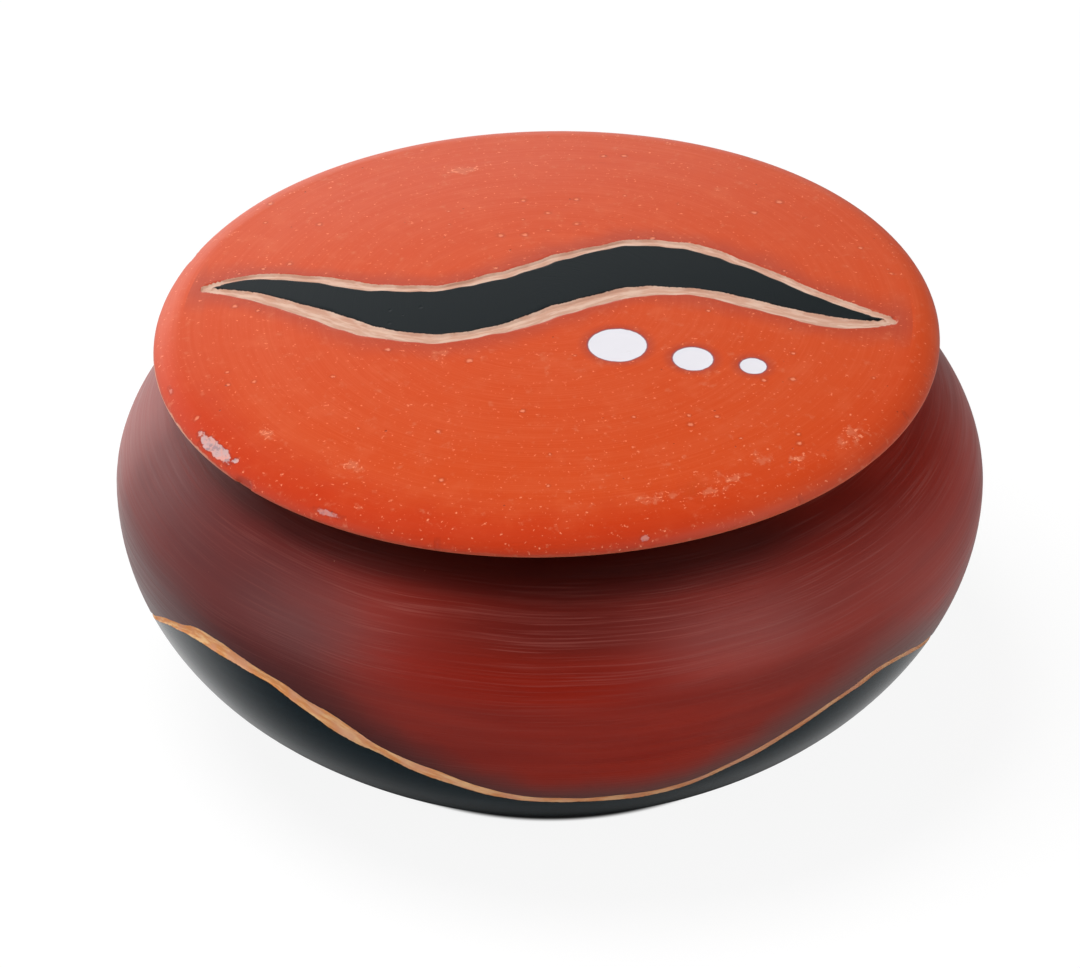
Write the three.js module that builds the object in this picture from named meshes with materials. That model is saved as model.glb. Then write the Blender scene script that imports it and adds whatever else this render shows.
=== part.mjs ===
import * as THREE from 'three';

// A lidded pot of fired clay: a round bellied pot and a wide flat lid that rests on its rim.
// Millimetres and degrees, z up. The pot stands on z = 0 and its axis is the z axis.

// Pot, outside: two smooth curves that meet upright at the belly
const footRadius = 35.4;
const footSlope = 35.5; // how steeply the wall leaves the foot, above level
const footReach = 14.6; // how long the wall keeps that direction
const footEdge = 1.6; // length of the rounding from the flat underside into the wall
const bellyRadius = 60;
const bellyHeight = 33.7;
const bellyReachBelow = 16.1; // how long the wall stays near upright below the belly
const bellyReachAbove = 8.4;
const rimRadius = 43.4;
const rimHeight = 55.2;
const rimSlope = 27.8; // how steeply the shoulder climbs to the rim, above level
const rimReach = 8.2;
const rimEdge = 0.6; // bevel on both edges of the rim's flat top

// Pot, underside and inside
const standWidth = 6; // flat ring that the pot stands on
const baseHollow = 1; // how far the middle of the underside is raised
const wallThickness = 5.5;
const floorThickness = 7;
const floorFillet = 9; // run of the rounding from the floor up into the wall
const rimWidth = 5.4; // from the rim's outer edge to the mouth

// Lid: a low dome with a rolled edge, and a guide ring that hangs in the mouth
const lidOverhang = 10.2; // past the rim
const lidEdgeHeight = 3;
const lidEdgeRun = 3.8; // how far in the rolled edge reaches
const lidRise = 3; // from the rolled edge to the middle
const lidLean = 1.26; // hand-made unevenness: the top leans up towards +x by this angle
const guideClearance = 1; // between the guide ring and the mouth
const guideWidth = 4;
const guideDepth = 6;
const guideEdge = 0.5;
const lidHollow = 1; // how far the ceiling inside the guide ring is raised

const sides = 64; // facets round each piece
const curveSteps = 9; // facets along each long curve

const along = (point, degrees, distance) => {
  const angle = THREE.MathUtils.degToRad(degrees);
  return new THREE.Vector2(point.x + distance * Math.cos(angle), point.y + distance * Math.sin(angle));
};

// The outer wall from the foot to the belly, and from the belly to the rim
const footCorner = new THREE.Vector2(footRadius, 0);
const wallStart = along(footCorner, footSlope, footEdge);
const belly = new THREE.Vector2(bellyRadius, bellyHeight);
const rimOuter = new THREE.Vector2(rimRadius, rimHeight - rimEdge);
const lowerWall = new THREE.CubicBezierCurve(
  wallStart,
  along(footCorner, footSlope, footReach),
  new THREE.Vector2(bellyRadius, bellyHeight - bellyReachBelow),
  belly,
);
const upperWall = new THREE.CubicBezierCurve(
  belly,
  new THREE.Vector2(bellyRadius, bellyHeight + bellyReachAbove),
  along(rimOuter, -rimSlope, rimReach),
  rimOuter,
);

// Points of a curve moved inwards by the wall's thickness, square to the curve
function insideOf(curve) {
  const points = [];
  for (let i = 0; i <= curveSteps; i++) {
    const tangent = curve.getTangent(i / curveSteps);
    const inwards = new THREE.Vector2(-tangent.y, tangent.x).multiplyScalar(wallThickness);
    points.push(curve.getPoint(i / curveSteps).add(inwards));
  }
  return points;
}

// The inner wall runs from above the floor's fillet to just under the throat
const mouthRadius = rimRadius - rimWidth;
const filletHeight = floorFillet * Math.tan(THREE.MathUtils.degToRad(footSlope));
const innerWall = [...insideOf(lowerWall), ...insideOf(upperWall).slice(1)].filter(
  (point) => point.y > floorThickness + filletHeight && point.x > mouthRadius + rimEdge,
);

function potProfile() {
  const standInner = footRadius - footEdge - standWidth;
  const under = [new THREE.Vector2(0, baseHollow), new THREE.Vector2(standInner - baseHollow, baseHollow)];
  const stand = [new THREE.Vector2(standInner, 0), new THREE.Vector2(footRadius - footEdge, 0)];
  const footRounding = new THREE.QuadraticBezierCurve(stand[1], footCorner, wallStart).getPoints(3);
  const outside = [...lowerWall.getPoints(curveSteps).slice(1), ...upperWall.getPoints(curveSteps).slice(1)];

  const rim = [new THREE.Vector2(rimRadius - rimEdge, rimHeight), new THREE.Vector2(mouthRadius + rimEdge, rimHeight)];
  const wallEnd = innerWall.at(-1);
  const throatDrop = (wallEnd.x - mouthRadius) * Math.tan(THREE.MathUtils.degToRad(rimSlope));
  const throat = [
    new THREE.Vector2(mouthRadius, rimHeight - rimEdge),
    new THREE.Vector2(mouthRadius, wallEnd.y + throatDrop),
  ];

  // The floor's fillet bends from the first point of the inner wall to the level floor
  const filletEnd = innerWall[0];
  const filletCorner = new THREE.Vector2(filletEnd.x - floorFillet / 2, floorThickness);
  const filletStart = new THREE.Vector2(filletCorner.x - floorFillet, floorThickness);
  const fillet = new THREE.QuadraticBezierCurve(filletEnd, filletCorner, filletStart).getPoints(4).slice(1);

  return [
    ...under, ...stand, ...footRounding.slice(1), ...outside, ...rim, ...throat,
    ...innerWall.toReversed(), ...fillet, new THREE.Vector2(0, floorThickness),
  ];
}

// The lid's profile stands on the plane of its underside, at height 0
function lidUnderside() {
  const guideOuter = mouthRadius - guideClearance;
  const guideInner = guideOuter - guideWidth;
  return [
    new THREE.Vector2(0, lidHollow),
    new THREE.Vector2(guideInner, lidHollow),
    new THREE.Vector2(guideInner, guideEdge - guideDepth),
    new THREE.Vector2(guideInner + guideEdge, -guideDepth),
    new THREE.Vector2(guideOuter - guideEdge, -guideDepth),
    new THREE.Vector2(guideOuter, guideEdge - guideDepth),
    new THREE.Vector2(guideOuter, 0),
    new THREE.Vector2(rimRadius, 0),
    new THREE.Vector2(rimRadius + lidOverhang, 0),
  ];
}

function lidTop() {
  const edge = new THREE.Vector2(rimRadius + lidOverhang, 0);
  const shoulder = new THREE.Vector2(edge.x - lidEdgeRun, lidEdgeHeight);
  const domeSlope = (2 * lidRise) / shoulder.x;
  const roll = new THREE.CubicBezierCurve(
    edge,
    new THREE.Vector2(edge.x, lidEdgeHeight / 2),
    new THREE.Vector2(shoulder.x + lidEdgeRun / 2, lidEdgeHeight - (domeSlope * lidEdgeRun) / 2),
    shoulder,
  );
  const dome = new THREE.QuadraticBezierCurve(
    shoulder,
    new THREE.Vector2(shoulder.x / 2, lidEdgeHeight + lidRise),
    new THREE.Vector2(0, lidEdgeHeight + lidRise),
  );
  return [...roll.getPoints(6).slice(1), ...dome.getPoints(curveSteps).slice(1)];
}

// A profile of radius and height turned about the z axis
function turned(profile) {
  return new THREE.LatheGeometry(profile, sides).rotateX(Math.PI / 2);
}

function makePot() {
  const redSlip = new THREE.MeshStandardMaterial({ color: 0x8a2a1c, roughness: 0.38, metalness: 0 });
  const pot = new THREE.Mesh(turned(potProfile()), redSlip);
  pot.name = 'pot_body';
  return pot;
}

function makeLid() {
  const underside = lidUnderside();
  const profile = [...underside, ...lidTop()];
  const geometry = turned(profile);

  // The whole top leans by one angle; below, the lean grows from nothing at the rim to the edge
  const lean = Math.tan(THREE.MathUtils.degToRad(lidLean));
  const position = geometry.attributes.position;
  for (let i = 0; i < position.count; i++) {
    const isUnder = i % profile.length < underside.length;
    const radius = Math.hypot(position.getX(i), position.getY(i));
    const share = isUnder ? Math.max(0, (radius - rimRadius) / lidOverhang) : 1;
    position.setZ(i, position.getZ(i) + share * lean * position.getX(i));
  }

  const orangeSlip = new THREE.MeshStandardMaterial({ color: 0xd04a22, roughness: 0.4, metalness: 0 });
  const lid = new THREE.Mesh(geometry, orangeSlip);
  lid.name = 'lid';
  lid.position.z = rimHeight;
  return lid;
}

const liddedPot = new THREE.Group();
liddedPot.add(makePot(), makeLid());

export default liddedPot;
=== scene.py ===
from math import cos, pi, radians, sin, tan

import bpy
import numpy as np
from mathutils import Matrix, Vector


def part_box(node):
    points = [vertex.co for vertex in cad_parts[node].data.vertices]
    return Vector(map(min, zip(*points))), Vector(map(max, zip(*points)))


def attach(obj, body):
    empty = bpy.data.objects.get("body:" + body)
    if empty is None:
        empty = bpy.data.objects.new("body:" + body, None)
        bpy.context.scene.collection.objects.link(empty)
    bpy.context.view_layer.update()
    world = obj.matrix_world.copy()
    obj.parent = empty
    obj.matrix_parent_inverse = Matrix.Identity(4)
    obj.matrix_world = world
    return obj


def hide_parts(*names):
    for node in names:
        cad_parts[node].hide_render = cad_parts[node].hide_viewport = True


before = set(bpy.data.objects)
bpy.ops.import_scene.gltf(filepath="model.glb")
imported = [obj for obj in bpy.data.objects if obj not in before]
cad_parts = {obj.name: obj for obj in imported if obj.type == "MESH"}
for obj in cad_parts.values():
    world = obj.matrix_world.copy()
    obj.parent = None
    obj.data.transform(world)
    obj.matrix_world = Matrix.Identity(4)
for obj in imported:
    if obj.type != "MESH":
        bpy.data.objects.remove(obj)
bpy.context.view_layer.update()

print('frame loaded:', sorted(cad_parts))

# Lengths in this file are millimetres, and meshes are put down in metres.
metre = 1000.0


# The camera, the floor and the light

view = {
    'distance': 750.0,        # from the camera to the point it looks at
    'elevation': 33.886,      # degrees above level
    'lookHeight': 28.0,       # height of that point on the pot's axis
    'focalPixels': 5381.6,    # focal length in pixels of the photograph
    'photoSize': (1080, 968),
    'axisPixel': (549.6, 501.5),  # where the photograph shows that point
    'filmWidth': 36.0,
}


def addObject(name, data):
    thing = bpy.data.objects.new(name, data)
    bpy.context.scene.collection.objects.link(thing)
    return thing


def makeCamera():
    wide, high = view['photoSize']
    camera = addObject('camera', bpy.data.cameras.new('camera'))
    camera.data.sensor_fit = 'HORIZONTAL'
    camera.data.sensor_width = view['filmWidth']
    camera.data.lens = view['focalPixels'] / wide * view['filmWidth']
    camera.data.shift_x = (wide / 2 - view['axisPixel'][0]) / wide
    camera.data.shift_y = (view['axisPixel'][1] - high / 2) / wide
    camera.data.clip_start = 0.01
    camera.data.clip_end = 50.0
    tilt = radians(view['elevation'])
    reach = view['distance'] / metre
    camera.location = (0, -reach * cos(tilt), view['lookHeight'] / metre + reach * sin(tilt))
    camera.rotation_euler = (pi / 2 - tilt, 0, 0)
    bpy.context.scene.camera = camera


# Small helpers for node trees

class Wire:
    # an output of a node; sums, differences and products of wires become Math nodes in its tree
    def __init__(self, socket):
        self.socket = socket
        self.tree = socket.id_data

    def __add__(self, other):
        return calc('ADD', self, other)

    def __sub__(self, other):
        return calc('SUBTRACT', self, other)

    def __mul__(self, other):
        return calc('MULTIPLY', self, other)


def connect(node, name, value):
    # a wire is linked to the node's input, and anything else is set on it
    if isinstance(value, Wire):
        value.tree.links.new(value.socket, node.inputs[name])
    else:
        node.inputs[name].default_value = value


def addNode(tree, kind, inputs=None, **settings):
    node = tree.nodes.new('ShaderNode' + kind)
    for name, value in settings.items():
        setattr(node, name, value)
    for name, value in (inputs or {}).items():
        connect(node, name, value)
    return node


def made(tree, kind, output, inputs=None, **settings):
    # one output of a new node, by its name or number
    return Wire(addNode(tree, kind, inputs, **settings).outputs[output])


def calc(operation, *values):
    tree = next(value.tree for value in values if isinstance(value, Wire))
    return made(tree, 'Math', 0, dict(enumerate(values)), operation=operation)


def rise(value, low, high):
    # 0 at low and 1 at high with a soft step between; a high under the low makes it a fall
    return made(value.tree, 'MapRange', 'Result', {'Value': value, 'From Min': low, 'From Max': high},
                interpolation_type='SMOOTHSTEP')


def lay(share, under, over):
    # the colour over laid on the colour under, as much as share says
    return made(share.tree, 'Mix', 2, {0: share, 6: under, 7: over}, data_type='RGBA')


def coats(colour, paint, *layers):
    # coats laid on one after the other: how much of each, and its name in the paint
    for share, tone in layers:
        colour = lay(share, colour, paint[tone])
    return colour


def between(share, low, high):
    return made(share.tree, 'Mix', 0, {0: share, 2: low, 3: high}, data_type='FLOAT')


def split(vector, kind='XYZ'):
    # the three parts of a vector, or of a colour
    return [Wire(socket) for socket in addNode(vector.tree, 'Separate' + kind, {0: vector}).outputs]


def join(x, y, z=0.0):
    return made(x.tree, 'CombineXYZ', 0, {'X': x, 'Y': y, 'Z': z})


def lengthOf(vector):
    return made(vector.tree, 'VectorMath', 'Value', {0: vector}, operation='LENGTH')


def noise(vector, scale, detail=2.0, roughness=0.5):
    return made(vector.tree, 'TexNoise', 'Fac',
                {'Vector': vector, 'Scale': scale, 'Detail': detail, 'Roughness': roughness})


def readValues(tree, *names):
    # the mesh's own values that were stored under these names
    return [made(tree, 'Attribute', 'Fac', attribute_name=name) for name in names]


def readRays(tree, *names):
    # for each name of a Light Path output, 1 for the rays of that kind
    path = addNode(tree, 'LightPath').outputs
    return [Wire(path[name]) for name in names]


def newMaterial(name):
    # a material with an empty tree, and the place on the piece in millimetres
    material = bpy.data.materials.new(name)
    material.use_nodes = True
    tree = material.node_tree
    tree.nodes.clear()
    place = made(tree, 'TexCoord', 'Object')
    return material, tree, made(tree, 'VectorMath', 0, {0: place, 'Scale': metre}, operation='SCALE')


def palette(**colours):
    # colours given as 0 to 255 on screen, in the linear values that shaders take
    parts = {name: np.array(colour) / 255.0 for name, colour in colours.items()}
    return {name: (*np.where(part <= 0.04045, part / 12.92, ((part + 0.055) / 1.055) ** 2.4).tolist(), 1.0)
            for name, part in parts.items()}


# Stage

studio = {
    'floorSize': 9000.0,
    'floorColour': 0.9,
    'floorSeen': 0.14,       # share that the camera sees as lit floor; the rest glows evenly
    'floorGlow': 0.90,
    'farGlow': (150.0, 450.0),   # radii between which that glow rises to full white
    'contact': (35.9, 36.9),     # radii between which the glow starts, outside a painted contact shadow round the foot
    'mirrorGlow': 0.55,      # share of the floor's white that reflections see glowing evenly
    'frontShade': (-5.0, -58.0, 0.06),   # depths between which reflections see the floor dim, and how dim
    'rightShade': (30.0, 110.0, 0.5),    # the same along x
    'footShade': (36.5, 50.0),   # radii between which they see it come out of the dark under the pot
    'overheadPlace': (-290.0, 20.0, 870.0),
    'overheadSize': 560.0,
    'overheadWatts': 7.0,
    'boxTurns': (-151.0, -44.0),  # two tall soft boxes, left and right of the camera
    'boxReach': 640.0,
    'boxElevation': 20.0,
    'boxAim': (0.0, 0.0, 35.0),
    'boxSize': (320.0, 490.0),
    'boxWatts': (0.66, 1.02),
    'fill': 0.13,            # light that comes from all round
    'fillRight': 3.2,        # how many times brighter it is on the right
    'fillRightFrom': (0.0, 0.8),
    'fillFront': 0.15,       # share of it that comes from the side with the camera
    # what reflections show; x, y and z are parts of a unit vector, to the right, back and up
    'wallsLeft': (0.78, 2.5),    # how white the walls are on the left, at the side and at the back
    'backLeft': (0.1, 0.6),      # y between which the one becomes the other
    'wallsRight': (0.5, 0.12),   # the same on the right
    'backRight': (0.1, 0.5),
    'rightFrom': (-0.2, 0.4),    # x between which the left becomes the right
    'wallTop': (0.27, 0.49),     # z between which the walls go over into the ceiling
    'leftHigher': 0.20,          # how much further up the white reaches on the left
    'ceiling': 0.04,
    'frontFrom': (-0.35, -0.75),  # y between which the side with the camera begins
    'frontWhite': (0.06, 0.26),  # how white that side is, low down and high up
    'frontHighFrom': (0.48, 0.68),
    'darkAbove': (0.70, 0.84),   # z between which all sides go dark
}


def makeFloor():
    half = studio['floorSize'] / 2 / metre
    mesh = bpy.data.meshes.new('floor')
    corners = [(-half, -half, 0), (half, -half, 0), (half, half, 0), (-half, half, 0)]
    mesh.from_pydata(corners, [], [(0, 1, 2, 3)])
    floor = addObject('floor', mesh)
    material, tree, place = newMaterial('floor')
    seen, mirrored = readRays(tree, 'Is Camera Ray', 'Is Glossy Ray')
    x, y = split(place)[:2]
    radius = lengthOf(place)
    shown = rise(radius, *studio['footShade'])
    for part, (near, far, dim) in ((y, studio['frontShade']), (x, studio['rightShade'])):
        shown = shown * between(rise(part, near, far), 1.0, dim)
    grey = between(mirrored, 1.0, shown * (1.0 - studio['mirrorGlow']))
    grey = between(seen, grey, studio['floorSeen']) * studio['floorColour']
    white = between(rise(radius, *studio['farGlow']), studio['floorGlow'], 1.0)
    # painted contact shadow: no glow just round the foot
    glow = between(seen, mirrored * shown * studio['mirrorGlow'], rise(radius, *studio['contact']) * white)
    plain = made(tree, 'BsdfDiffuse', 0, {'Color': join(grey, grey, grey)})
    both = made(tree, 'AddShader', 0, {0: plain, 1: made(tree, 'Emission', 0, {'Strength': glow})})
    addNode(tree, 'OutputMaterial', {'Surface': both})
    mesh.materials.append(material)


def hangLamp(name, shape, size, watts, place, target, seenMirrored):
    lamp = addObject(name, bpy.data.lights.new(name, 'AREA'))
    lamp.data.shape = shape
    lamp.data.size = size[0] / metre
    lamp.data.size_y = size[1] / metre
    lamp.data.energy = watts
    lamp.location = Vector(place) / metre
    lamp.rotation_euler = (Vector(place) - Vector(target)).to_track_quat('Z', 'Y').to_euler()
    lamp.visible_glossy = seenMirrored


def makeLamps():
    across = studio['overheadSize']
    hangLamp('overhead', 'DISK', (across, across), studio['overheadWatts'], studio['overheadPlace'],
             (0, 0, 0), False)
    tilt = radians(studio['boxElevation'])
    for side, turn, watts in zip(('Left', 'Right'), studio['boxTurns'], studio['boxWatts']):
        away = Vector((cos(tilt) * cos(radians(turn)), cos(tilt) * sin(radians(turn)), sin(tilt)))
        hangLamp('softBox' + side, 'RECTANGLE', studio['boxSize'], watts, away * studio['boxReach'],
                 studio['boxAim'], True)


def makeWorld():
    # white to the camera, a plain fill to the object, and pale walls under a dark ceiling to reflections
    world = bpy.data.worlds.new('studio')
    world.use_nodes = True
    tree = world.node_tree
    tree.nodes.clear()
    seen, glossy, through = readRays(tree, 'Is Camera Ray', 'Is Glossy Ray', 'Is Transmission Ray')
    x, y, z = split(made(tree, 'TexCoord', 'Generated'))
    left = between(rise(y, *studio['backLeft']), *studio['wallsLeft'])
    right = between(rise(y, *studio['backRight']), *studio['wallsRight'])
    wall = between(rise(x, *studio['rightFrom']), left, right)
    upward = rise(x * studio['leftHigher'] + z, *studio['wallTop'])
    behind = between(upward, wall, studio['ceiling'])
    inFront = between(rise(z, *studio['frontHighFrom']), *studio['frontWhite'])
    front = rise(y, *studio['frontFrom'])
    low, high = studio['darkAbove']
    mirrored = between(front, behind, inFront) * rise(z, high, low)
    around = between(front, 1.0, studio['fillFront']) * studio['fill']
    around = around * between(rise(x, *studio['fillRightFrom']), 1.0, studio['fillRight'])
    background = calc('MAXIMUM', calc('MAXIMUM', seen, glossy), through)
    strength = between(background, around, between(seen, mirrored, 1.0))
    addNode(tree, 'OutputWorld', {'Surface': made(tree, 'Background', 0, {'Strength': strength})})
    bpy.context.scene.world = world


makeCamera()
makeFloor()
makeLamps()
makeWorld()
bpy.context.scene.view_settings.view_transform = 'Standard'
print('camera, floor and light are up')


# Shapes

def bezier(points, t):
    # curve from the first point to the last, pulled towards those between
    points, t = [np.asarray(point, float) for point in points], t[:, None]
    while len(points) > 1:
        points = [(1 - t) * a + t * b for a, b in zip(points, points[1:])]
    return points[0]


def along(point, degrees, distance):
    # the point that lies this far from the given one, in a direction above level
    turn = radians(degrees)
    return np.array([point[0] + distance * cos(turn), point[1] + distance * sin(turn)])


def straight(points, steps):
    # points joined by straight lines, each cut into the given number of steps, without the last point
    pieces = [np.linspace(a, b, n, endpoint=False) for a, b, n in zip(points[:-1], points[1:], steps)]
    return np.vstack(pieces)


def runLength(points):
    # way along a line of points, 0 at its first
    return np.concatenate([[0], np.cumsum(np.linalg.norm(np.diff(points, axis=0), axis=1))])


def carried(points, columns):
    # radius and height of each point of an outline, repeated round the axis
    return np.repeat(points.T[:, :, None], columns, 2)


def waves(angle, terms):
    # a smooth uneven line round the axis: sines of whole numbers of waves, each (count, size, phase)
    return sum(size * np.sin(count * angle + phase) for count, size, phase in terms)


def softStep(value, low, high):
    t = np.clip((value - low) / (high - low), 0, 1)
    return t * t * (3 - 2 * t)


def cutDepth(across):
    # depth share of a cut line: 1 over its flat bed, steep walls, 0 from its edge outwards
    return 1 - softStep(np.abs(across), 0.72, 1.0)


# Radius of the smallest ring of points round the axis, which a fan of triangles closes
poleRadius = 2.0
# Rows of points across a cut line, in half widths from its middle
cutRows = np.array([-1.9, -1.4, -1.14, -1.0, -0.93, -0.86, -0.79, -0.7, -0.35,
                    0.0, 0.35, 0.7, 0.79, 0.86, 0.93, 1.0, 1.14, 1.4, 1.9])


def putMesh(name, points, quads, triangles, values, material):
    mesh = bpy.data.meshes.new(name)
    mesh.from_pydata(points / metre, [], quads.tolist() + triangles.tolist())
    for key, value in values.items():
        mesh.attributes.new(key, 'FLOAT', 'POINT').data.foreach_set('value', value.astype(np.float32))
    mesh.polygons.foreach_set('use_smooth', np.ones(len(mesh.polygons), bool))
    mesh.materials.append(material)
    mesh.validate()
    return addObject(name, mesh)


def strips(lower, upper):
    # quads between closed rows of point numbers, facing out when the upper lie further along the outline
    return np.stack([lower, np.roll(lower, -1, 1), np.roll(upper, -1, 1), upper], axis=2).reshape(-1, 4)


def fan(centre, starts, ends):
    # triangles from one point to the steps of a row of points
    return np.stack([np.full(len(starts), centre), starts, ends], axis=1)


# The pot

potLow, potHigh = (np.array(corner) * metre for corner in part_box('pot_body'))
pot = {
    'bellyRadius': (potHigh[0] - potLow[0]) / 2,
    'rimHeight': potHigh[2],
    'footRadius': 35.4,
    'footSlope': 35.5,
    'footReach': 14.6,
    'footEdge': 1.6,
    'bellyHeight': 33.7,
    'bellyReachBelow': 16.1,
    'bellyReachAbove': 8.4,
    'rimRadius': 43.4,
    'rimSlope': 27.8,
    'rimReach': 8.2,
    'rimEdge': 0.6,
    'rimWidth': 5.4,
    'standWidth': 6.0,
    'baseHollow': 1.0,
    'wall': 5.5,
    'floor': 7.0,
    'floorFillet': 9.0,
    'columns': 640,
    'rowsBelowLine': 30,
    'rowsAboveLine': 36,
    'unevenness': 0.05,      # how far the hand-smoothed wall sinks in places
    'turningMarks': 0.12,    # depth of the shallow rings left inside
    # heights between which the wall drifts off the axis along x, and how far: its foot and its shoulder
    'lowDrift': (14.0, 34.0, -0.28),
    'highDrift': (34.0, 50.0, 0.90),
}
mouth = pot['rimRadius'] - pot['rimWidth']
# Degrees round, and how strong each tone is there
potTones = {
    # as the height that the smoke reaches above the line
    'smoke': ((-195, 8), (-158, 26), (-134, 22), (-106, 10), (-82, 8.5), (-62, 10.5), (-40, 10.5), (0, 10),
              (50, 12), (90, 5), (125, 9)),
    # painted shade on the shoulder, strongest in front under the lid's shadow
    'dull': ((-195, 0.5), (-150, 0.5), (-135, 0.6), (-122, 0.3), (-88, 0.9), (-60, 0.25), (-10, 0.0),
             (60, 0.5), (120, 0.6)),
    # painted sheen: pale where the side lights are mirrored, partly the burnished slip's own bloom
    'hazy': ((-195, 0.45), (-178, 0.5), (-163, 0.05), (-150, 0.0), (-118, 0.06), (-90, 0.0), (-64, 0.05),
             (-36, 0.12), (-15, 0.0), (60, 0.2), (120, 0.3)),
    # painted shade: the dark ring under the lid's overhang
    'neck': ((-195, 0.3), (-160, 0.4), (-140, 0.65), (-118, 0.9), (-88, 1.0), (-60, 0.9), (-42, 0.5),
             (-26, 0.15), (-10, 0.0), (60, 0.4), (120, 0.5)),
}
bodyLine = {
    # degrees round and height where it turns
    'turns': ((-178, 17.0), (-136, 32.2), (-86, 17.1), (-79, 16.8), (-43, 27.7), (-8, 17.0),
              (40, 29.5), (90, 16.8), (137, 30.5)),
    # degrees round and width where it is thickest or thinnest
    'widths': ((-153, 0.8), (-137.5, 2.2), (-130, 1.6), (-123, 1.8), (-118, 3.0), (-112, 1.7), (-104, 2.2),
               (-88, 1.5), (-79, 1.9), (-62, 1.2), (-40, 0.9), (0, 1.4), (40, 2.6), (62, 1.5), (120, 2.4),
               (170, 1.6)),
    'depth': 0.42,
    'lowDepth': 0.25,        # share of that depth at its lower edge, so that its bed faces up
    'edgeWobble': ((23, 0.13, 0.4), (41, 0.09, 2.1), (67, 0.06, 4.0), (103, 0.04, 1.2)),
    'pathWobble': ((17, 0.12, 1.0), (29, 0.08, 3.3), (47, 0.05, 5.1)),
}


def easeThrough(angle, marks):
    # a smooth wave through its marked turns: half a cosine from each to the next, closed round the axis
    turns, heights = np.array(marks + ((marks[0][0] + 360, marks[0][1]),), float).T
    degrees = (np.degrees(angle) - turns[0]) % 360 + turns[0]
    step = np.searchsorted(turns, degrees, side='right') - 1
    share = (degrees - turns[step]) / (turns[step + 1] - turns[step])
    return heights[step] + (heights[step + 1] - heights[step]) * (1 - np.cos(pi * share)) / 2


def linePath(angle):
    # height and width of the line cut round the pot, with the small wobble of a hand
    height = easeThrough(angle, bodyLine['turns']) + waves(angle, bodyLine['pathWobble'])
    return height, easeThrough(angle, bodyLine['widths']) + waves(angle, bodyLine['edgeWobble'])


def potWall(steps=240):
    # the outer wall from foot to rim as two curves that meet upright at the belly
    foot = (pot['footRadius'], 0)
    belly = (pot['bellyRadius'], pot['bellyHeight'])
    rim = (pot['rimRadius'], pot['rimHeight'] - pot['rimEdge'])
    t = np.linspace(0, 1, steps)
    lower = bezier((along(foot, pot['footSlope'], pot['footEdge']),
                    along(foot, pot['footSlope'], pot['footReach']),
                    (belly[0], belly[1] - pot['bellyReachBelow']), belly), t)
    upper = bezier((belly, (belly[0], belly[1] + pot['bellyReachAbove']),
                    along(rim, -pot['rimSlope'], pot['rimReach']), rim), t)
    return np.vstack([lower, upper[1:]])


def potInside(wall):
    # the outer wall moved in by its thickness, from the floor's rounding to the throat
    tangent = np.gradient(wall, axis=0)
    tangent /= np.linalg.norm(tangent, axis=1, keepdims=True)
    inner = wall + pot['wall'] * np.column_stack([-tangent[:, 1], tangent[:, 0]])
    filletHeight = pot['floorFillet'] * tan(radians(pot['footSlope']))
    inner = inner[(inner[:, 1] > pot['floor'] + filletHeight) & (inner[:, 0] > mouth + pot['rimEdge'])]
    down = inner[::-1][np.linspace(0, len(inner) - 1, 30).astype(int)]

    corner = np.array([inner[0, 0] - pot['floorFillet'] / 2, pot['floor']])
    level = corner - (pot['floorFillet'], 0)
    fillet = bezier((inner[0], corner, level), np.linspace(0, 1, 8)[1:])
    throatDrop = (down[0, 0] - mouth) * tan(radians(pot['rimSlope']))
    throat = np.array([[mouth, pot['rimHeight'] - pot['rimEdge']], [mouth, down[0, 1] + throatDrop]])
    return throat, down, fillet


def wallRows(wall, angle):
    # Rows of points up the outer wall that follow the cut line: radius and height of each, its distance from
    # the line's middle, and half the line's width in each column
    length = runLength(wall)
    tangent = np.gradient(wall, length, axis=0)
    height, width = linePath(angle)
    lineAt = np.interp(height, wall[:, 1], length)
    lineRadius = np.interp(lineAt, length, wall[:, 0])
    slope = (np.roll(lineAt, -1) - np.roll(lineAt, 1)) / (2 * lineRadius * (angle[1] - angle[0]))
    square = 1 / np.sqrt(1 + slope ** 2)      # turns a distance up the wall into one square to the line
    half = width / 2

    inCut = lineAt + cutRows[:, None] * half / square
    below = np.linspace(0, inCut[0], pot['rowsBelowLine'], endpoint=False)
    above = np.linspace(inCut[-1], length[-1], pot['rowsAboveLine'] + 1)[1:]
    place = np.vstack([below, inCut, above])

    side = (place - lineAt) * square
    bed = (1 + bodyLine['lowDepth']) / 2 + (1 - bodyLine['lowDepth']) / 2 * np.clip(side / half, -1, 1)
    sink = bodyLine['depth'] * np.clip(width / 1.5, 0.6, 1.0) * cutDepth(side / half) * bed
    hand = 0.5 + 0.25 * np.sin(3 * angle + place / 9) + 0.25 * np.sin(7 * angle - place / 5 + 1)
    calm = softStep(place, 0, 6) * softStep(length[-1] - place, 0, 6)
    sink = sink + pot['unevenness'] * hand * calm
    radius = np.interp(place, length, wall[:, 0]) - sink * np.interp(place, length, tangent[:, 1])
    level = np.interp(place, length, wall[:, 1]) + sink * np.interp(place, length, tangent[:, 0])
    return radius, level, side, half


def potBefore(wall):
    # the outline of the underside and the foot's rounding, up to the wall, and how much of it is underneath
    standOut = pot['footRadius'] - pot['footEdge']
    standIn = standOut - pot['standWidth']
    hollow = pot['baseHollow']
    under = straight([(poleRadius, hollow), (standIn - hollow, hollow), (standIn, 0), (standOut, 0)],
                     (4, 2, 3))
    rounding = bezier(((standOut, 0), (pot['footRadius'], 0), wall[0]), np.linspace(0, 1, 6)[:-1])
    return np.vstack([under, rounding]), len(under)


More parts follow.
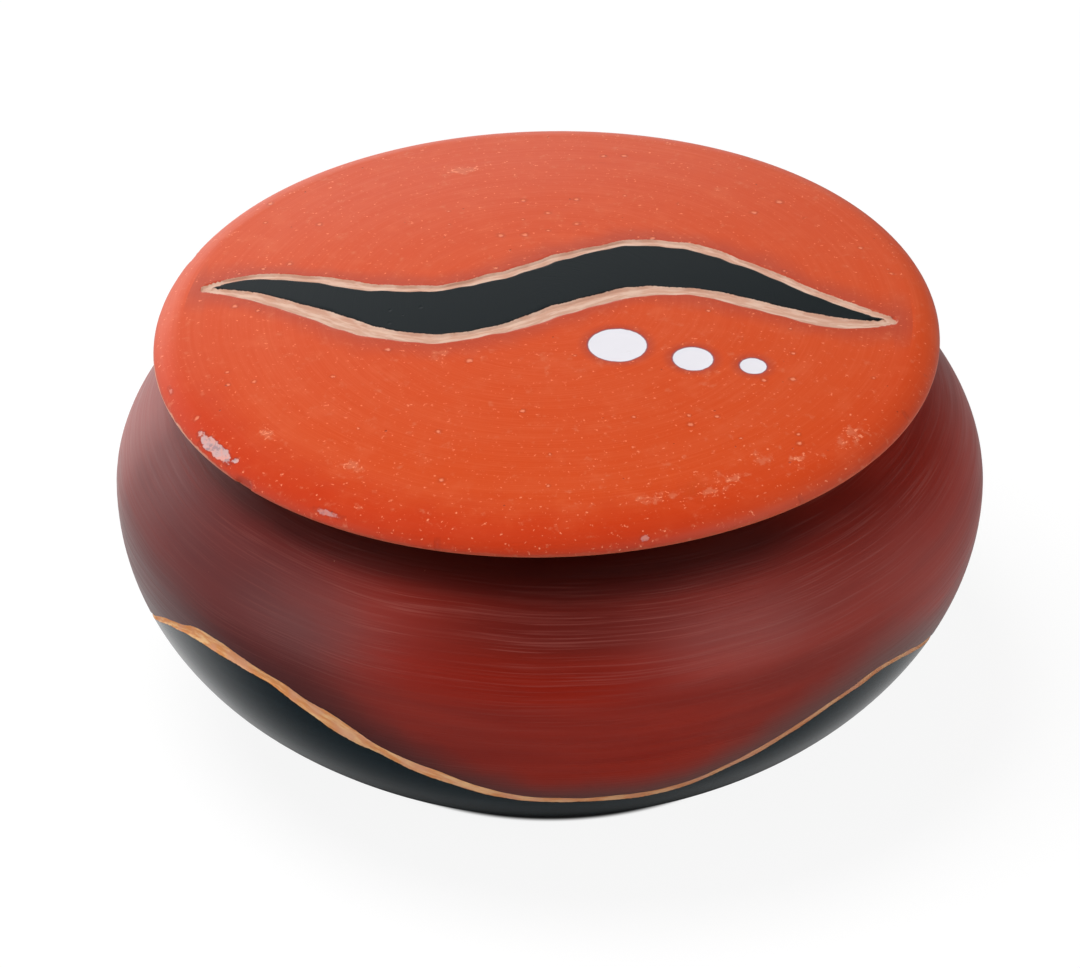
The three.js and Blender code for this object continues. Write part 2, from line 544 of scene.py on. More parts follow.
def potAfter(wall):
    # the outline over the rim and down the inside to the middle of the floor, and how much of it is rim
    throat, inside, fillet = potInside(wall)
    rim = straight([(pot['rimRadius'] - pot['rimEdge'], pot['rimHeight']),
                    (mouth + pot['rimEdge'], pot['rimHeight']), throat[0]], (4, 1))
    throat = straight([throat[0], throat[1], inside[0]], (3, 2))
    marks = pot['turningMarks'] * np.sin(inside[:, 1] * 1.5) * softStep(np.arange(len(inside)), 0, 3)
    inside = inside + np.column_stack([marks, np.zeros(len(marks))])
    centre = (poleRadius, pot['floor'])
    floorRows = straight([fillet[-1], centre], (9,))
    return np.vstack([rim, throat, inside, fillet[:-1], floorRows, [centre]]), len(rim)


def makePot(material):
    # rings of points carried round the axis, closed by a fan at each end
    columns = pot['columns']
    angle = np.arange(columns) * 2 * pi / columns
    wall = potWall()
    radius, level, side, half = wallRows(wall, angle)
    before, underCount = potBefore(wall)
    after, rimCount = potAfter(wall)
    radius, level = np.concatenate([carried(before, columns), (radius, level), carried(after, columns)],
                                   axis=1)
    low, middle, footDrift = pot['lowDrift']
    middle, high, shoulderDrift = pot['highDrift']
    drift = footDrift * (1 - softStep(level, low, middle)) + shoulderDrift * softStep(level, middle, high)
    rings = np.dstack([radius * np.cos(angle) + drift, radius * np.sin(angle), level])
    poles = np.array([[footDrift, 0, pot['baseHollow']], [footDrift, 0, pot['floor']]])
    points = np.vstack([rings.reshape(-1, 3), poles])

    number = np.arange(radius.size).reshape(radius.shape)
    base, top = number.size, number.size + 1
    first, last = number[0], number[-1]
    triangles = np.concatenate([fan(base, np.roll(first, -1), first), fan(top, last, np.roll(last, -1))])

    def spread(*parts):
        # values for the rows before the wall, those of the wall and those after it, and for the two poles
        counts = (len(before), len(side), len(after))
        whole = np.vstack([np.broadcast_to(part, (count, columns)) for part, count in zip(parts, counts)])
        return np.append(whole, (whole[0, 0], whole[-1, 0]))

    # the strokes lie square to the height on the wall, and to the way along the outline inside and underneath
    wayBefore, wayAfter = runLength(before)[:, None], runLength(after)[:, None]
    far = 60.0
    values = {
        'lineSide': spread(-far, side, far),
        'lineHalf': spread(1.0, half, 1.0),
        'bare': spread(0.0, 0.0, softStep(np.arange(len(after)), rimCount - 2, rimCount + 2)[:, None]),
        'strokeAt': spread(wayBefore - wayBefore[-1], level[len(before):-len(after)],
                           pot['rimHeight'] + wayAfter),
    }
    for tone, marks in potTones.items():
        values[tone] = spread(0.0, easeThrough(angle, marks), 0.0)
    values['bare'][:underCount * columns] = 1.0
    values['bare'][base] = 1.0
    return putMesh('pot_shell', points, strips(number[:-1], number[1:]), triangles, values, material)


# The lid

lidLow, lidHigh = (np.array(corner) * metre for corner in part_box('lid'))
lid = {
    'radius': (lidHigh[0] - lidLow[0]) / 2,
    'seat': pot['rimHeight'],
    'edgeHeight': 3.0,
    'edgeRun': 3.8,
    'rise': 3.0,
    'lean': 1.12,            # degrees, up towards +x
    'drift': -0.45,          # how far its outline lies off the axis along x
    'guideClearance': 1.0,
    'guideWidth': 4.0,
    'guideDepth': 6.0,
    'guideEdge': 0.5,
    'hollow': 1.0,
    'arris': 0.22,           # worn edge between the rolled edge and the underside
    'chords': 360,
    'rowsEachSide': 62,
    'rowsInRibbon': 22,
    'unevenness': 0.05,
    'outOfRound': 0.35,      # how far it bulges at three of its four corners
}
faceRadius = lid['radius'] - lid['edgeRun']
ribbon = {
    'halfLength': 47.0,
    'halfWidth': 7.0,
    'crest': 5.6,            # how far its middle line swings
    'waveLength': 61.0,
    'lineWidth': 2.0,
    'depth': 0.42,
    'lift': 3.0,             # how far behind the lid's middle it lies
}
dots = {
    'marks': ((9.5, -11.5, 3.9), (19.5, -14.5, 2.7), (27.5, -15.8, 1.8)),  # middle and radius
    'depth': 0.10,
}
# Worn places in the lid's edge: degrees round, distance over the rolled edge, half length, half width,
# depth, and how bare of slip each is
chips = (
    (-163.4, 3.1, 0.7, 0.28, 0.10, 0.5),
    (-146.2, 3.15, 3.9, 0.85, 0.30, 0.95),
    (-141.2, 2.7, 0.45, 0.35, 0.12, 0.9),
    (-137.8, 4.9, 1.7, 0.9, 0.55, 0.0),
    (-122.2, 3.5, 1.7, 0.35, 0.06, 0.5),
    (-76.2, 3.6, 0.5, 0.4, 0.08, 0.5),
    (35.0, 4.4, 2.0, 0.8, 0.35, 0.9),
    (104.0, 4.6, 1.6, 0.6, 0.3, 0.0),
    (158.0, 4.2, 2.4, 0.7, 0.3, 0.8),
)
# Places where handling has rubbed the face dull: middle, half length along the edge, half width
rubbed = (
    (40.0, -30.2, 3.4, 1.9),
    (32.8, -36.0, 1.8, 1.6),
    (27.8, -36.2, 1.3, 2.2),
    (21.6, -43.2, 3.2, 1.3),
    (14.0, -44.9, 4.2, 1.1),
    (24.5, -40.6, 3.0, 0.9),
    (-25.0, -36.8, 2.2, 1.4),
    (-36.8, -28.2, 1.8, 1.2),
    (-14.2, -13.0, 1.4, 2.6),
    (-20.9, -4.8, 1.3, 2.4),
    (-12.0, 38.0, 4.0, 1.5),
)


def onRibbon(x):
    # x kept between the ribbon's ends
    return np.clip(x, -ribbon['halfLength'], ribbon['halfLength'])


def ribbonLines(x):
    # middle height of the ribbon's two outlines: a sine wave whose width dies away to both ends
    middle = ribbon['lift'] + ribbon['crest'] * np.sin(2 * pi * x / ribbon['waveLength'])
    share = np.clip(1 - (x / ribbon['halfLength']) ** 2, 0, 1)
    spread = ribbon['halfWidth'] * share ** 0.75
    hand = 0.16 * np.sin(0.61 * x + 1.0) + 0.10 * np.sin(1.37 * x)
    return middle - spread + 0.7 * hand * share, middle + spread + hand * share


def lineWidths(x):
    # the cut lines swell and thin out as a hand-held tool makes them
    swell = 0.42 * np.sin(0.19 * x + 0.6) + 0.2 * np.sin(0.47 * x + 2.0) + 0.06 * np.sin(1.9 * x)
    thin = 0.2 * np.sin(0.27 * x + 2.6) + 0.14 * np.sin(0.63 * x) + 0.05 * np.sin(2.3 * x)
    taper = 1 - 0.35 * softStep(np.abs(x), ribbon['halfLength'] * 0.75, ribbon['halfLength'])
    return (ribbon['lineWidth'] * 1.2 + swell) * taper, (ribbon['lineWidth'] * 0.85 + thin) * taper


def lineDistance(x, y, pick):
    # distance square to one outline, and past the ribbon's ends the distance to its end point
    inner = onRibbon(x)
    small = 0.01
    slope = (ribbonLines(inner + small)[pick] - ribbonLines(inner - small)[pick]) / (2 * small)
    slope = np.clip(slope, -1.2, 1.2)
    upright = (y - ribbonLines(inner)[pick]) / np.sqrt(1 + slope ** 2)
    return np.sign(upright) * np.hypot(upright, x - inner)


def lidHeight(x, y, radius):
    # dome with its cut lines, dots and the slow unevenness of a hand-smoothed face
    dome = lid['rise'] * (1 - (radius / faceRadius) ** 2)
    cut = np.maximum(*(cutDepth(lineDistance(x, y, pick) / (width / 2))
                       for pick, width in enumerate(lineWidths(onRibbon(x)))))
    sunk = sum(softStep(size - np.hypot(x - px, y - py), -0.1, 0.25) for px, py, size in dots['marks'])
    hand = 0.5 + 0.25 * np.sin(x / 7 + y / 13 + 1) + 0.25 * np.sin(y / 6 - x / 15)
    calm = softStep(faceRadius - radius, 0, 6)
    sink = ribbon['depth'] * cut + dots['depth'] * sunk + lid['unevenness'] * hand * calm
    return lid['edgeHeight'] + dome - sink


def chipCover(angle, over):
    # Over is the distance past the face's border. A chip is a rounded oblong with a ragged outline. This
    # gives how far inside a bare one a place is, how bare that one is, and how deep any chip is there.
    outside, squareness = -9.0, 2.6
    inside = np.full(np.shape(angle), outside)
    share, depth = np.zeros(np.shape(angle)), np.zeros(np.shape(angle))
    for turn, centre, halfLong, halfWide, deep, bare in chips:
        u = ((angle - radians(turn) + pi) % (2 * pi) - pi) * lid['radius']
        v = over - centre
        ragged = 0.10 * np.sin(2.1 * u + 1.3 * v + turn) + 0.07 * np.sin(4.7 * u - 2.9 * v + 2 * turn)
        oblong = (np.abs(u) / halfLong) ** squareness + (np.abs(v) / halfWide) ** squareness
        cover = 1 + ragged - oblong ** (1 / squareness)
        depth = np.maximum(depth, deep * softStep(cover, 0, 0.35))
        nearest = (cover * halfWide > inside) & (bare > 0)
        share = np.where(nearest, bare, share)
        inside = np.where(nearest, cover * halfWide, inside)
    return inside, share, depth


def rubbedShare(x, y):
    # 1 in the middle of a rubbed place, fading out as the square of the distance in its own half lengths
    share = np.zeros(np.shape(x))
    for px, py, halfLong, halfWide in rubbed:
        outward = np.array([px, py]) / np.hypot(px, py)
        across = (x - px) * outward[0] + (y - py) * outward[1]
        beside = (y - py) * outward[0] - (x - px) * outward[1]
        share = np.maximum(share, 1 - (across / halfWide) ** 2 - (beside / halfLong) ** 2)
    return share


def stretch(angle):
    # how many times further out the lid reaches: waves that peak at all its corners but the front left one
    calm = softStep(np.cos(angle + radians(135)), 0.0, 0.7)
    return 1 + lid['outOfRound'] / lid['radius'] * np.sin(2 * angle) ** 2 * (1 - calm)


def lidFace():
    # The face is cut into chords evenly spaced by angle, with rows along each that follow the ribbon.
    # This gives its places, its quads and triangles, and the numbers of the points on its border.
    turn = np.arange(1, lid['chords']) * pi / lid['chords']
    x = faceRadius * np.cos(turn)
    border = faceRadius * np.sin(turn)
    squeeze = np.minimum(1, border / (faceRadius * sin(radians(20))))

    low, high = ribbonLines(onRibbon(x))
    lowWidth, highWidth = lineWidths(onRibbon(x))
    room = cutRows[-1] * (lowWidth + highWidth) / 2
    push = np.maximum(0, room * 1.04 + 0.3 - (high - low)) / 2
    lowRows = (low - push + cutRows[:, None] * lowWidth / 2) * squeeze
    highRows = (high + push + cutRows[:, None] * highWidth / 2) * squeeze
    front = np.linspace(-border, lowRows[0], lid['rowsEachSide'], endpoint=False)
    middle = np.linspace(lowRows[-1], highRows[0], lid['rowsInRibbon'] + 2)[1:-1]
    back = np.linspace(highRows[-1], border, lid['rowsEachSide'] + 1)[1:]
    y = np.vstack([front, lowRows, middle, highRows, back]).T
    x = np.repeat(x[:, None], y.shape[1], axis=1)

    number = np.arange(x.size).reshape(x.shape)
    right, left = x.size, x.size + 1
    corners = (number[:-1, :-1], number[:-1, 1:], number[1:, 1:], number[1:, :-1])
    quads = np.stack(corners, axis=2).reshape(-1, 4)
    triangles = np.vstack([fan(right, number[0, 1:], number[0, :-1]),
                           fan(left, number[-1, :-1], number[-1, 1:])])
    rim = np.concatenate([[right], number[:, -1], [left], number[::-1, 0]])
    return np.append(x, (faceRadius, -faceRadius)), np.append(y, (0.0, 0.0)), quads, triangles, rim


def lidOutline():
    # the rolled edge from the face's border down, and the underside with its guide ring to the middle
    edge, arris, hollow = lid['radius'], lid['arris'], lid['hollow']
    slope = 2 * lid['rise'] / faceRadius
    roll = bezier(((edge, arris), (edge, lid['edgeHeight'] / 2),
                   (faceRadius + lid['edgeRun'] / 2, lid['edgeHeight'] - slope * lid['edgeRun'] / 2),
                   (faceRadius, lid['edgeHeight'])), np.linspace(0, 1, 13))[:-1][::-1]
    guideOut = mouth - lid['guideClearance']
    guideIn = guideOut - lid['guideWidth']
    bevel, deep = lid['guideEdge'], -lid['guideDepth']
    under = straight([(edge - arris, 0), (pot['rimRadius'], 0), (guideOut + bevel, 0), (guideOut, -bevel / 2),
                      (guideOut, deep + bevel), (guideOut - bevel, deep), (guideIn + bevel, deep),
                      (guideIn, deep + bevel), (guideIn, hollow - bevel), (guideIn - bevel, hollow),
                      (poleRadius, hollow)], (5, 3, 1, 3, 1, 2, 1, 3, 1, 5))
    return roll, np.vstack([under, [[poleRadius, hollow]]])


def makeLid(material):
    # the face, and closed rings that carry on from its border over the rolled edge and along the underside
    faceX, faceY, faceQuads, faceTriangles, border = lidFace()
    roll, under = lidOutline()
    outline = np.vstack([roll, under])
    overEdge = runLength(np.vstack([[[faceRadius, lid['edgeHeight']]], outline]))[1:]
    arrisAt = (overEdge[len(roll) - 1] + overEdge[len(roll)]) / 2
    around = np.arange(2 * lid['chords']) * pi / lid['chords']
    ringRadius, ringLevel = carried(outline, len(around))
    isUnder = (np.arange(len(outline)) >= len(roll))[:, None]
    onSeat = (ringRadius - pot['rimRadius']) / (lid['radius'] - pot['rimRadius'])
    leanShare = np.where(isUnder, np.clip(onSeat, 0, 1), 1.0)

    # chips sink the face, and move the rolled edge in as well
    chipIn, chipDown = 0.8, 0.6
    chipAt, chipBare, chipDepth = chipCover(around + 0 * ringRadius, overEdge[:, None] + 0 * ringRadius)
    ringX = (ringRadius - chipIn * chipDepth) * np.cos(around)
    ringY = (ringRadius - chipIn * chipDepth) * np.sin(around)
    ringLevel = ringLevel - np.where(isUnder, 0, chipDown * chipDepth)
    faceOut, faceTurn = np.hypot(faceX, faceY), np.arctan2(faceY, faceX)
    faceChip, faceBare, faceChipDepth = chipCover(faceTurn, faceOut - faceRadius)

    lean = tan(radians(lid['lean']))
    faceLevel = lidHeight(faceX, faceY, faceOut) - chipDown * faceChipDepth + lean * faceX
    ringLevel = ringLevel + leanShare * lean * ringX
    faceStretch = stretch(faceTurn)
    ringStretch = 1 + leanShare * (stretch(around) - 1)
    ringPoints = np.dstack([ringX * ringStretch + leanShare * lid['drift'], ringY * ringStretch, ringLevel])
    points = np.vstack([
        np.column_stack([faceX * faceStretch + lid['drift'], faceY * faceStretch, faceLevel]),
        ringPoints.reshape(-1, 3), [[0, 0, lid['hollow']]]])
    points[:, 2] += lid['seat']

    rings = len(faceX) + np.arange(ringX.size).reshape(ringX.shape)
    rows = np.vstack([border, rings])
    last = rows[-1]
    quads = np.vstack([faceQuads, strips(rows[1:], rows[:-1])])
    triangles = np.vstack([faceTriangles, fan(len(points) - 1, np.roll(last, -1), last)])

    def whole(faceValues, ringValues, middle):
        ringValues = np.broadcast_to(ringValues, ringX.shape)
        return np.concatenate([faceValues, ringValues.ravel(), [middle]])

    flatX, flatY = whole(faceX, ringX, 0.0), whole(faceY, ringY, 0.0)
    isFace = np.arange(len(points)) < len(faceX)
    widths = lineWidths(onRibbon(flatX))
    lower, upper = lineDistance(flatX, flatY, 0), -lineDistance(flatX, flatY, 1)
    nearLow = lower / widths[0] < upper / widths[1]
    inRibbon = np.where(nearLow, lower, upper)
    past = np.abs(flatX) > ribbon['halfLength']
    inRibbon = np.where(past, -np.abs(inRibbon), inRibbon)
    dotSide = np.max([size - np.hypot(flatX - px, flatY - py) for px, py, size in dots['marks']], axis=0)
    far = -30.0
    values = {
        'lineSide': np.where(isFace, inRibbon, far),
        'lineHalf': np.where(nearLow, widths[0], widths[1]) / 2,
        'dotSide': np.where(isFace, dotSide, far),
        'chip': whole(faceChip, chipAt, -9.0),
        'chipBare': whole(faceBare, chipBare, 0.0),
        'rubbed': rubbedShare(flatX, flatY),
        'fromArris': np.abs(arrisAt - whole(faceOut - faceRadius, overEdge[:, None], 60.0)),
        'bare': whole(np.zeros(len(faceX)), isUnder, 1.0),
    }
    return putMesh('lid_shell', points, quads, triangles, values, material)


# Finishes

def makeGroup(name, inputs, outputs):
    # a node group with number or vector inputs and number outputs
    group = bpy.data.node_groups.new(name, 'ShaderNodeTree')
    for label, kind in inputs.items():
        group.interface.new_socket(name=label, in_out='INPUT', socket_type='NodeSocket' + kind)
    for label in outputs:
        group.interface.new_socket(name=label, in_out='OUTPUT', socket_type='NodeSocketFloat')
    given = group.nodes.new('NodeGroupInput').outputs
    return group, [Wire(given[label]) for label in inputs], group.nodes.new('NodeGroupOutput')


def useGroup(tree, group, **inputs):
    # the group placed in a tree: its outputs, in their order
    return [Wire(socket) for socket in addNode(tree, 'Group', inputs, node_tree=group).outputs]


def makeStrokeGroup():
    # Marks of a smooth stone rubbed round the clay: noise stretched along the turn. Across is the
    # distance square to the strokes.
    group, (place, across), result = makeGroup(
        'strokes', {'Position': 'Vector', 'Across': 'Float'}, ('Scratch', 'Fine', 'Broad', 'Cloud'))
    x, y = split(place)[:2]
    turnX, turnY = split(made(group, 'VectorMath', 0, {0: join(x, y)}, operation='NORMALIZE'))[:2]
    swayed = noise(place, 0.05, 1.0) * 0.9 + across
    kinds = (('Scratch', 3.6, 5.6, 1.0), ('Fine', 2.4, 2.2, 2.0), ('Broad', 1.6, 0.3, 2.0))
    for name, along, dense, detail in kinds:
        drawn = join(turnX * along, turnY * along, swayed * dense)
        connect(result, name, noise(drawn, 1.0, detail, 0.55))
    connect(result, 'Cloud', noise(place, 0.06, 3.0, 0.55))
    return group


def makeSpeckGroup(name, dimensions):
    # Small round pits, each a pale spot with a dark border: one for each picked cell of a cell pattern,
    # which 2D takes straight down through X and Y
    inputs = {'Position': 'Vector', 'Spacing': 'Float', 'Size': 'Float', 'Share': 'Float'}
    group, (place, spacing, size, share), result = makeGroup(name, inputs, ('Spot', 'Border'))
    wobble = made(group, 'TexNoise', 'Color', {'Vector': place, 'Scale': 1.4})
    bent = made(group, 'VectorMath', 0, {0: wobble, 1: (0.5, 0.5, 0.5), 2: place}, operation='MULTIPLY_ADD')
    cells = addNode(group, 'TexVoronoi', {'Vector': bent, 'Scale': calc('DIVIDE', 1.0, spacing)},
                    voronoi_dimensions=dimensions).outputs
    distance = Wire(cells['Distance']) * spacing
    red, green = split(Wire(cells['Color']), 'Color')[:2]
    crowd = rise(noise(place, 0.07), 0.35, 0.7)
    picked = calc('LESS_THAN', red, crowd * share)
    size = size * (green * 0.8 + 0.5)
    connect(result, 'Spot', rise(distance, size, size * 0.3) * picked)
    connect(result, 'Border', rise(distance, size * 1.9, size) * picked)
    return group


def makeScuffGroup():
    # Places where handling has rubbed the slip dull, with a few bright flecks. Amount is 1 at their middle.
    group, (place, amount), result = makeGroup(
        'scuffs', {'Position': 'Vector', 'Amount': 'Float'}, ('Dull', 'Fleck'))
    connect(result, 'Dull', rise(amount * 0.22 + noise(place, 0.7, 3.0, 0.65), 0.58, 0.78))
    connect(result, 'Fleck', rise(amount * 0.12 + noise(place, 1.7, 2.0, 0.6), 0.64, 0.75))
    return group


strokeGroup = makeStrokeGroup()
speckGroup = makeSpeckGroup('specks', '3D')
faceSpeckGroup = makeSpeckGroup('faceSpecks', '2D')
scuffGroup = makeScuffGroup()


def cutClay(paint, place, side, low, high):
    # the clay's colour in a cut line, with tool marks along it: side is the distance from the line's middle
    x, y = split(place)[:2]
    marks = noise(join(x * 0.3, y * 0.3, side * 1.6), 1.0, 3.0, 0.6)
    return lay(rise(marks, low, high), paint['line'], paint['linePale'])


reliefDepth = 0.04           # how deep strokes and specks are as bumps, in both slips


def finish(tree, colour, roughness, height, shine):
    # satin clay: one Principled shader with its bump
    bump = made(tree, 'Bump', 0, {'Strength': 1.0, 'Distance': reliefDepth / metre, 'Height': height})
    shader = made(tree, 'BsdfPrincipled', 0, {'Base Color': colour, 'Roughness': roughness, 'Normal': bump,
                                              'IOR': 1.5, 'Specular IOR Level': shine})
    addNode(tree, 'OutputMaterial', {'Surface': shader})


potSlip = palette(
    red=(158, 32, 8),
    redHazy=(166, 88, 80),
    # painted sheen colour on the pot
    haze=(176, 116, 112),
    redDeep=(143, 25, 5),
    # painted shade for the shoulder
    redDull=(100, 27, 21),
    smoke=(66, 30, 33),
    smokePale=(104, 74, 70),
    dark=(20, 34, 40),
    darkPale=(34, 50, 55),
    line=(232, 154, 93),
    linePale=(250, 200, 144),
    linePink=(232, 166, 132),
    lineDusky=(164, 108, 86),
    clay=(186, 110, 72),
    clayPale=(206, 140, 102),
    # painted shadow along the cut line's upper and lower edges
    arris=(46, 20, 18),
    arrisLow=(52, 40, 22),
    # painted shade under the lid
    neck=(60, 3, 0),
    speck=(196, 120, 100),
)
potLook = {
    'smokyRight': (-38.0, 22.0),  # x between which the smoke and the line turn to their right hand tone
    # heights between which each tone comes in, or goes
    'dullFrom': (38.0, 44.0),
    'streakedFrom': (30.0, 44.0),
    'hazyFrom': (26.0, 40.0),
    'hazyTo': (51.0, 43.0),
    'smokyTo': (51.0, 45.0),
    'neckFrom': (46.8, 50.4),
    'roughness': (0.42, 0.30),   # where the strokes are faint and where they are strong
    'scratched': 0.10,           # how much rougher the pale scratches are
    'rough': {'inDark': 0.21, 'inLine': 0.8, 'bare': 0.75},
    'shine': 0.31,
    'specks': {'Spacing': 4.2, 'Size': 0.15, 'Share': 0.8},
}


def potMaterial():
    material, tree, place = newMaterial('redSlip')
    side, half, bare, strokeAt = readValues(tree, 'lineSide', 'lineHalf', 'bare', 'strokeAt')
    smoke, dull, hazy, neck = readValues(tree, *potTones)
    x, height = split(place)[::2]
    rightward = rise(x, *potLook['smokyRight'])
    scratch, fine, broad, cloud = useGroup(tree, strokeGroup, Position=place, Across=strokeAt)

    # red slip, rubbed pale in thin streaks, most of all on the shoulder
    red = lay(rise(broad, 0.3, 0.7), potSlip['redDeep'], potSlip['red'])
    streaks = rise(scratch, 0.51, 0.73) * 0.42 + rise(fine, 0.48, 0.76) * 0.20
    streaks = streaks * rise(cloud, 0.2, 0.6)
    streaked = streaks * between(rise(height, *potLook['streakedFrom']), 0.08, 0.78)
    # painted shade: the shoulder darkened under the lid's shadow and where the light from above is strongest
    dull = rise(height, *potLook['dullFrom']) * dull
    red = coats(red, potSlip, (dull, 'redDull'), (streaked, 'redHazy'))

    # it thins out to a smoky tone towards the line, in places over the whole wall
    reach = smoke * (cloud * 1.2 + 0.4)
    near = rise(side, reach, 0.2) * 0.88
    farther = rise(smoke, 6.0, 19.0) * rise(height, *potLook['smokyTo']) * 0.82
    wide = rise(side, reach * 2.4, 0.0) * farther
    red = lay(calc('MAXIMUM', near, wide), red, lay(rightward, potSlip['smoke'], potSlip['smokePale']))
    # painted sheen: pale patches at the left edge and under the side lights, partly the slip's own bloom
    hazy = rise(height, *potLook['hazyFrom']) * rise(height, *potLook['hazyTo']) * hazy
    # painted shade under the lid's overhang
    neck = rise(height, *potLook['neckFrom']) * neck
    red = coats(red, potSlip, (streaks * farther * 0.35, 'redHazy'), (hazy, 'haze'), (neck, 'neck'))

    # dark slip below
    dark = lay(rise(fine, 0.45, 0.8) * 0.5, potSlip['dark'], potSlip['darkPale'])
    colour = lay(rise(side, -0.05, 0.05), dark, red)

    # small pale specks
    speck = useGroup(tree, speckGroup, Position=place, **potLook['specks'])[0]
    colour = lay(speck * 0.5, colour, potSlip['speck'])

    # the cut line shows the clay, with the marks of the tool along it and painted shadow along its edges
    across = calc('DIVIDE', calc('ABSOLUTE', side), half) + (noise(place, 1.7, 3.0) * 0.3 - 0.15)
    inLine = rise(across, 1.05, 0.95)
    pink = rise(noise(place, 0.35), 0.45, 0.65) * 0.7
    line = coats(cutClay(potSlip, place, side, 0.42, 0.62), potSlip, (pink, 'linePink'),
                 (rightward * 0.58, 'lineDusky'))
    # painted shadow: dark lines along both edges of the cut
    arris = rise(across, 1.32, 1.02)
    colour = coats(colour, potSlip, (arris * rise(side, 0.0, 0.2) * 0.65, 'arris'),
                   (arris * rise(side, 0.0, -0.2) * 0.65, 'arrisLow'))
    colour = lay(inLine, colour, line)

    # bare clay inside and underneath
    colour = lay(bare, colour, lay(rise(broad, 0.35, 0.65), potSlip['clay'], potSlip['clayPale']))

    inDark = rise(side, 0.1, -0.1)
    rough = rise(scratch, 0.4, 0.7) * potLook['scratched'] + between(fine, *potLook['roughness'])
    for share, part in ((inDark, 'inDark'), (inLine, 'inLine'), (bare, 'bare')):
        rough = between(share, rough, potLook['rough'][part])
    bumps = (scratch * 0.5 + fine * 0.6) * between(inDark, 1.0, 0.25) - speck * 0.5
    finish(tree, colour, rough, bumps, potLook['shine'])
    return material


lidSlip = palette(
    orange=(212, 74, 23),
    # painted shade on the front of the rolled edge
    orangeDeep=(197, 48, 0),
    orangePale=(228, 112, 72),
    worn=(232, 168, 136),
    wornFront=(190, 112, 78),
    # rubbed places on the lid
    dull=(218, 122, 88),
    # the smoky tone beside the lid's ribbon and dots
    haze=(158, 62, 54),
    dark=(6, 18, 22),
    line=(208, 162, 140),
    linePale=(224, 190, 170),
    shadow=(10, 12, 14),
    dot=(236, 234, 240),
    dotRim=(140, 84, 96),
    chip=(214, 178, 176),
    chipPink=(232, 168, 156),
    chipGrey=(176, 148, 152),
    fleck=(246, 150, 112),
    pit=(128, 30, 10),
    clay=(184, 100, 62),
)
lidLook = {
    'frontFrom': (0.1, -0.5),    # sines of the turn between which the front side begins
    'deepWithin': (15.0, 4.0),   # ways from the arris between which painted shade deepens the slip in front
    'deepRight': (12.0, 36.0),   # x between which that gets weaker
    'leftFrom': (-38.0, -49.0),  # x between which the arris turns pale
    'roughness': (0.50, 0.38),
    'rough': {'roll': 0.56, 'ribbon': 0.60, 'cut': 0.8, 'bare': 0.75},
    'shine': 0.5,
    'spots': {'Spacing': 3.6, 'Size': 0.38, 'Share': 0.27},
    'smallSpots': {'Spacing': 1.7, 'Size': 0.19, 'Share': 0.05},
    'pits': {'Spacing': 7.3, 'Size': 0.18, 'Share': 0.6},
}


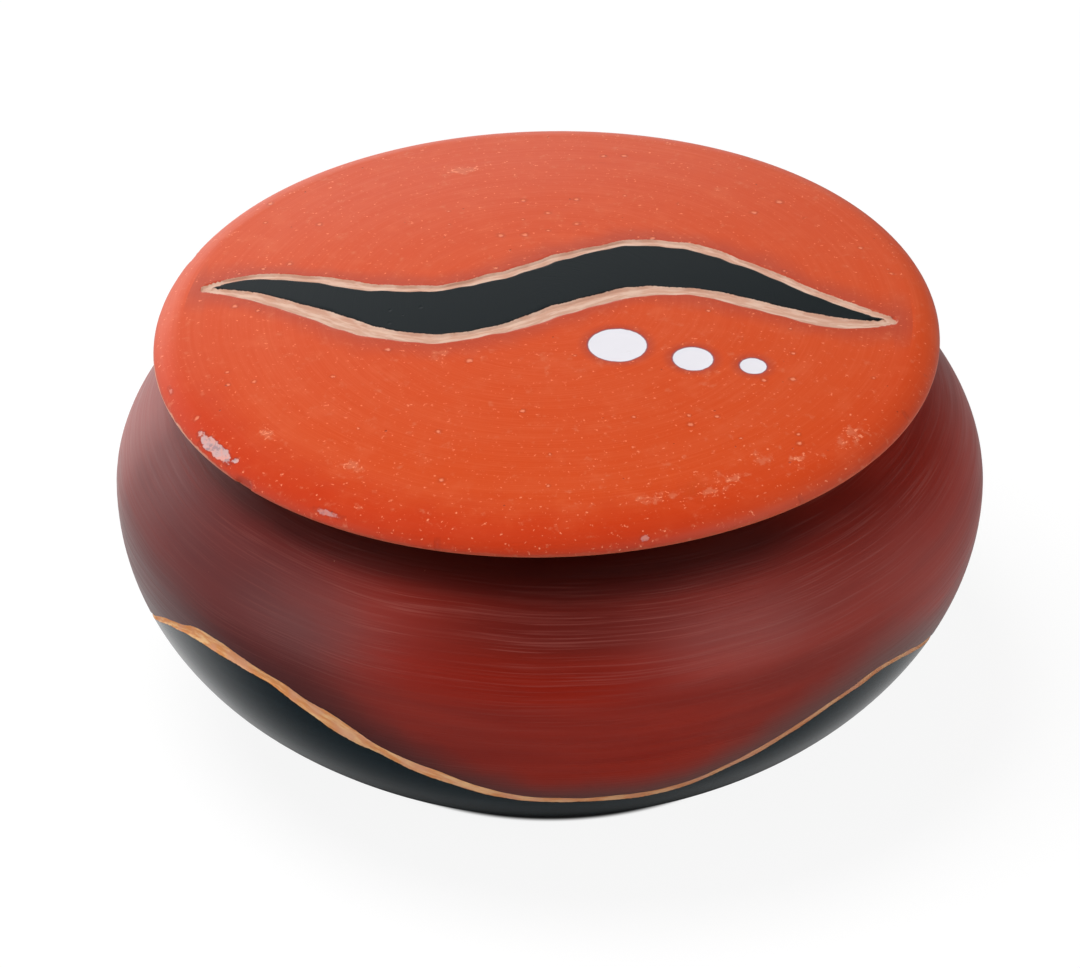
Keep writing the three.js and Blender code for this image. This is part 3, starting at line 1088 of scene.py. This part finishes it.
def lidMaterial():
    material, tree, place = newMaterial('orangeSlip')
    side, half, dot, bare = readValues(tree, 'lineSide', 'lineHalf', 'dotSide', 'bare')
    chip, chipBare, fromArris, handled = readValues(tree, 'chip', 'chipBare', 'fromArris', 'rubbed')
    x, y = split(place)[:2]
    radius = lengthOf(join(x, y))
    scratch, fine, broad, cloud = useGroup(tree, strokeGroup, Position=place, Across=radius)

    # orange slip with painted shade deepening it towards the front edge, and pale strokes and soft mottling
    mottle = noise(place, 0.22, 3.0, 0.6)
    # painted shade: deeper slip on the front side near the edge, weaker to the right
    frontward = rise(calc('DIVIDE', y, radius), *lidLook['frontFrom'])
    deep = rise(mottle * 6.0 + fromArris, *lidLook['deepWithin']) * frontward
    deep = deep * between(rise(x, *lidLook['deepRight']), 0.85, 0.35)
    pale = rise(broad, 0.35, 0.75) * 0.10 + rise(scratch, 0.5, 0.75) * 0.14
    pale = pale + rise(fine, 0.45, 0.75) * 0.10 + rise(mottle, 0.5, 0.75) * 0.18
    colour = coats(lidSlip['orange'], lidSlip, (pale, 'orangePale'), (deep, 'orangeDeep'))

    # smoky tone beside the ribbon and round the dots
    nearRibbon = rise(side * -1.0, cloud * 9.0 + 1.0, 0.4)
    nearDot = rise(dot * -1.0, 1.8, 0.0)
    colour = coats(colour, lidSlip, (calc('MAXIMUM', nearRibbon * 0.5, nearDot * 0.45), 'haze'))

    # pale spots, some with a dark border, dark pits, and rubbed places at the front right
    spots, smallSpots, pits = (useGroup(tree, faceSpeckGroup, Position=place, **lidLook[kind])
                               for kind in ('spots', 'smallSpots', 'pits'))
    spot, spotBorder, small, pit = *spots, smallSpots[0], pits[0]
    pale = calc('MAXIMUM', spot * 0.7, small * 0.4) * rise(fromArris, 1.8, 3.2)
    rubbedDull, fleck = useGroup(tree, scuffGroup, Position=place, Amount=handled)
    colour = coats(colour, lidSlip, (spotBorder * 0.16, 'pit'), (pit * 0.7, 'pit'), (pale, 'fleck'),
                   (rubbedDull * 0.5, 'dull'), (fleck * 0.75, 'fleck'))

    # dark ribbon between its two cut lines
    across = calc('DIVIDE', calc('ABSOLUTE', side), half) + (noise(place, 2.2) * 0.2 - 0.1)
    inLine = rise(across, 1.03, 0.95)
    shadow = rise(across, 1.25, 1.0) * rise(side, 0.0, 0.2)
    colour = coats(colour, lidSlip, (rise(side, -0.05, 0.05), 'dark'), (shadow, 'shadow'))
    colour = lay(inLine, colour, cutClay(lidSlip, place, side, 0.4, 0.65))

    # white dots with a dusky border
    colour = coats(colour, lidSlip, (rise(dot, -0.35, -0.05) * 0.8, 'dotRim'),
                   (rise(dot, -0.06, 0.06), 'dot'))

    # the edge's worn arris, and chips that show the body
    leftward = rise(x, *lidLook['leftFrom'])
    worn = rise(noise(place, 0.4, 3.0, 0.6) * 1.1 - fromArris, 0.0, 0.25) * between(leftward, 0.2, 0.75)
    colour = lay(worn, colour, lay(leftward, lidSlip['wornFront'], lidSlip['worn']))
    broken = noise(place, 2.5) * 0.3 + (noise(place, 0.9, 3.0, 0.6) * 0.5 - 0.25) + chip
    inChip = rise(broken, 0.08, 0.22) * chipBare
    pink = rise(noise(place, 0.8, 3.0, 0.6), 0.42, 0.6)
    grey = rise(noise(place, 1.1, 3.0, 0.6), 0.5, 0.66)
    body = coats(lidSlip['chip'], lidSlip, (pink, 'chipPink'), (grey, 'chipGrey'))
    colour = coats(colour, lidSlip, (rise(broken, -0.12, 0.06) * chipBare * 0.4, 'pit'))
    colour = coats(lay(inChip, colour, body), lidSlip, (bare, 'clay'))

    # the rolled edge in front, the ribbon, the cut lines and chips, and the bare clay are rougher
    rough = between(fine, *lidLook['roughness'])
    for share, part in ((rise(fromArris, 6.5, 4.0) * frontward, 'roll'), (rise(side, -0.1, 0.1), 'ribbon'),
                        (calc('MAXIMUM', inLine, inChip), 'cut'), (bare, 'bare')):
        rough = between(share, rough, lidLook['rough'][part])
    finish(tree, colour, rough, scratch * 0.3 + fine * 0.4 - (spot + pit), lidLook['shine'])
    return material


potPiece = makePot(potMaterial())
print('pot:', len(potPiece.data.polygons), 'faces')
lidPiece = makeLid(lidMaterial())
print('lid:', len(lidPiece.data.polygons), 'faces')

placed = ((potPiece, 'pot_body', 'pot', 'red_slip'), (lidPiece, 'lid', 'lid', 'orange_slip'))
for piece, node, body, slotName in placed:
    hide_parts(node)
    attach(piece, body)
